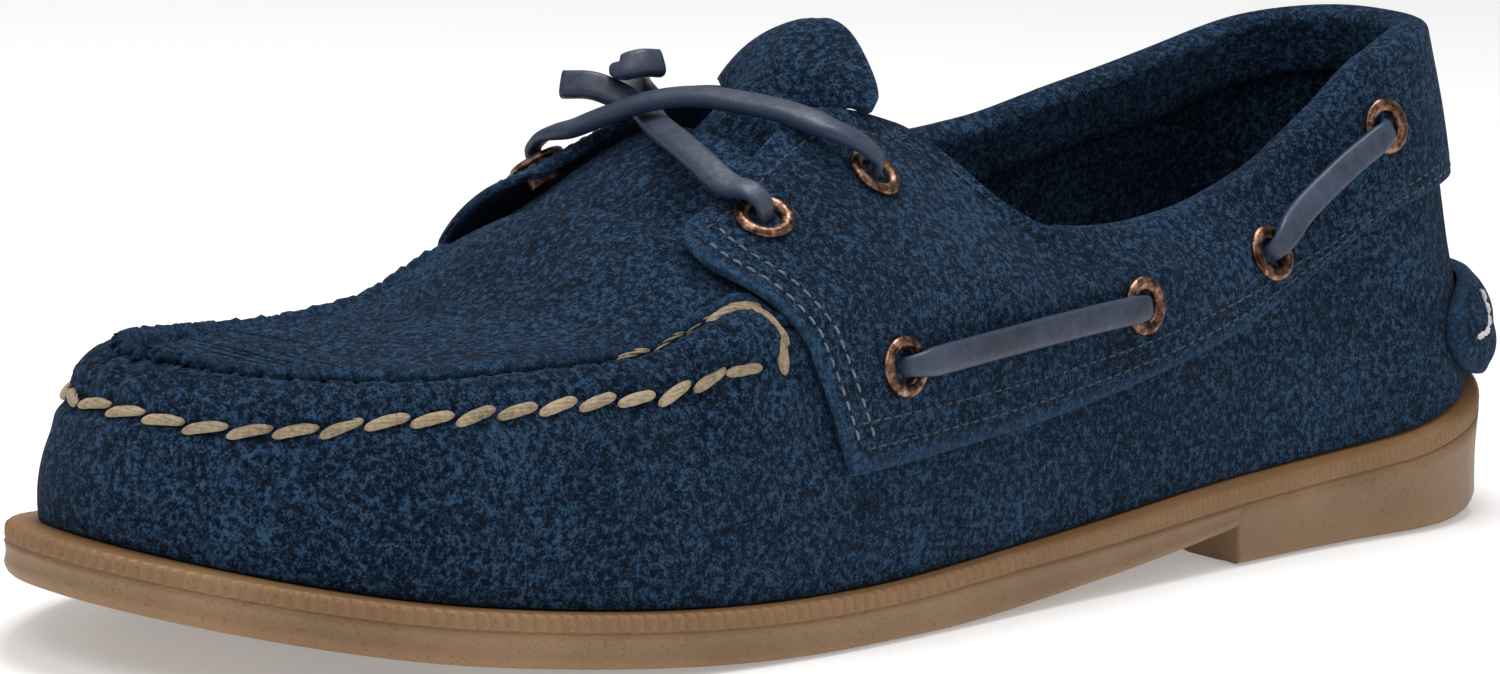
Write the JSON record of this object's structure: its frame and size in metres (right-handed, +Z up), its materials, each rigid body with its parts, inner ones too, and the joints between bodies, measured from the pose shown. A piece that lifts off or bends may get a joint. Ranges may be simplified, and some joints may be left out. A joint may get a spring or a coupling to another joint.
{
  "type": "boat shoe",
  "caption": "Low-cut moccasin-toe boat shoe for the left foot, with side laces and a flat rubber sole.",
  "frame": {"origin": "middle of the shoe's outline on the ground", "axes": "-Y towards the toe, +X towards the outer side, +Z up"},
  "size_m": [0.1022, 0.2981, 0.0928],
  "materials": {
    "gum_rubber": "amber gum rubber, satin",
    "footbed": "brown smooth leather footbed",
    "suede": "navy suede with a soft nap",
    "lace_leather": "flat rawhide lace in grey navy",
    "eyelet_metal": "antique copper plate"
  },
  "bodies": {
    "root": {"outsole": "gum_rubber", "insole": "footbed", "upper": "suede", "quarter": "suede", "tongue": "suede", "heel_tab": "suede", "eyelet_throat_outer_lower": "eyelet_metal", "eyelet_throat_outer_upper": "eyelet_metal", "eyelet_throat_inner_lower": "eyelet_metal", "eyelet_throat_inner_upper": "eyelet_metal", "eyelet_side_outer_1": "eyelet_metal", "eyelet_side_outer_2": "eyelet_metal", "eyelet_side_outer_3": "eyelet_metal", "eyelet_side_outer_4": "eyelet_metal", "eyelet_side_inner_1": "eyelet_metal", "eyelet_side_inner_2": "eyelet_metal", "eyelet_side_inner_3": "eyelet_metal", "eyelet_side_inner_4": "eyelet_metal", "side_lace_outer_front": "lace_leather", "side_lace_outer_rear": "lace_leather", "side_lace_inner_front": "lace_leather", "side_lace_inner_rear": "lace_leather", "lace_bar": "lace_leather", "lace_end_1": "lace_leather", "lace_end_2": "lace_leather"}
  },
  "joints": []
}
